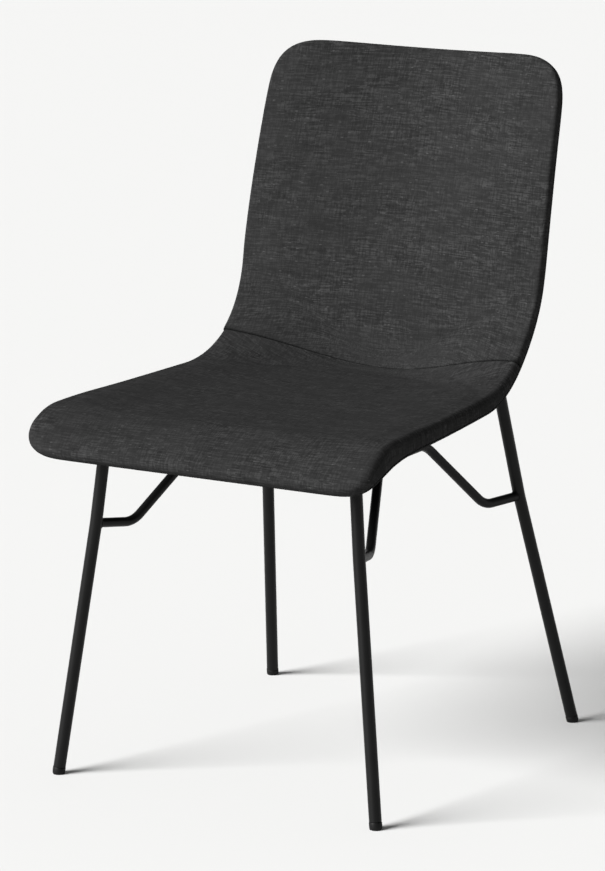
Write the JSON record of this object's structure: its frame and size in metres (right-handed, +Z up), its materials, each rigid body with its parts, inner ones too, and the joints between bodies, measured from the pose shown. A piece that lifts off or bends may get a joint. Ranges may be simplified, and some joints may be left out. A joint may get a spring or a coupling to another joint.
{
  "type": "dining chair",
  "caption": "Armless dining chair: a one-piece upholstered bucket seat and back in dark woven fabric, on splayed round steel-tube legs with side braces.",
  "frame": {"origin": "on the floor, under the middle of the whole chair's bounding box", "axes": "+Z up; -Y is the way the sitter faces; +X is to the right as seen from the front; X = 0 is the mirror plane"},
  "size_m": [0.4694, 0.6118, 0.8417],
  "materials": {
    "cover_fabric": "dark charcoal woven linen-look upholstery, matt, with slubs",
    "cushion_foam": "cream polyurethane upholstery foam",
    "polyester_wadding": "off-white polyester wadding",
    "plywood": "moulded beech plywood, bare",
    "powder_coated_steel": "matt black powder coat, fine texture",
    "black_plastic": "moulded black polyethylene, matt",
    "zinc_plated_steel": "zinc-plated steel hardware"
  },
  "bodies": {
    "root": {"back_cover": "cover_fabric", "back_foam": "cushion_foam", "brace_left": "powder_coated_steel", "brace_right": "powder_coated_steel", "foot_cap_front_left": "black_plastic", "foot_cap_front_right": "black_plastic", "foot_cap_rear_left": "black_plastic", "foot_cap_rear_right": "black_plastic", "leg_front_left": "powder_coated_steel", "leg_front_right": "powder_coated_steel", "leg_plate_front_left": "powder_coated_steel", "leg_plate_front_right": "powder_coated_steel", "leg_plate_rear_left": "powder_coated_steel", "leg_plate_rear_right": "powder_coated_steel", "leg_rear_left": "powder_coated_steel", "leg_rear_right": "powder_coated_steel", "plate_screw_front_left_1": "zinc_plated_steel", "plate_screw_front_left_2": "zinc_plated_steel", "plate_screw_front_right_1": "zinc_plated_steel", "plate_screw_front_right_2": "zinc_plated_steel", "plate_screw_rear_left_1": "zinc_plated_steel", "plate_screw_rear_left_2": "zinc_plated_steel", "plate_screw_rear_right_1": "zinc_plated_steel", "plate_screw_rear_right_2": "zinc_plated_steel", "plywood_shell": "plywood", "rail_cap_front_left": "black_plastic", "rail_cap_front_right": "black_plastic", "rail_cap_rear_left": "black_plastic", "rail_cap_rear_right": "black_plastic", "rail_front": "powder_coated_steel", "rail_rear": "powder_coated_steel", "rear_cover": "cover_fabric", "rear_wadding": "polyester_wadding", "seat_bolt_1": "zinc_plated_steel", "seat_bolt_2": "zinc_plated_steel", "seat_bolt_3": "zinc_plated_steel", "seat_bolt_4": "zinc_plated_steel", "seat_cover": "cover_fabric", "seat_foam": "cushion_foam", "seat_spacer_1": "black_plastic", "seat_spacer_2": "black_plastic", "seat_spacer_3": "black_plastic", "seat_spacer_4": "black_plastic", "seat_washer_1": "zinc_plated_steel", "seat_washer_2": "zinc_plated_steel", "seat_washer_3": "zinc_plated_steel", "seat_washer_4": "zinc_plated_steel", "tee_nut_1": "zinc_plated_steel", "tee_nut_2": "zinc_plated_steel", "tee_nut_3": "zinc_plated_steel", "tee_nut_4": "zinc_plated_steel"}
  },
  "joints": []
}
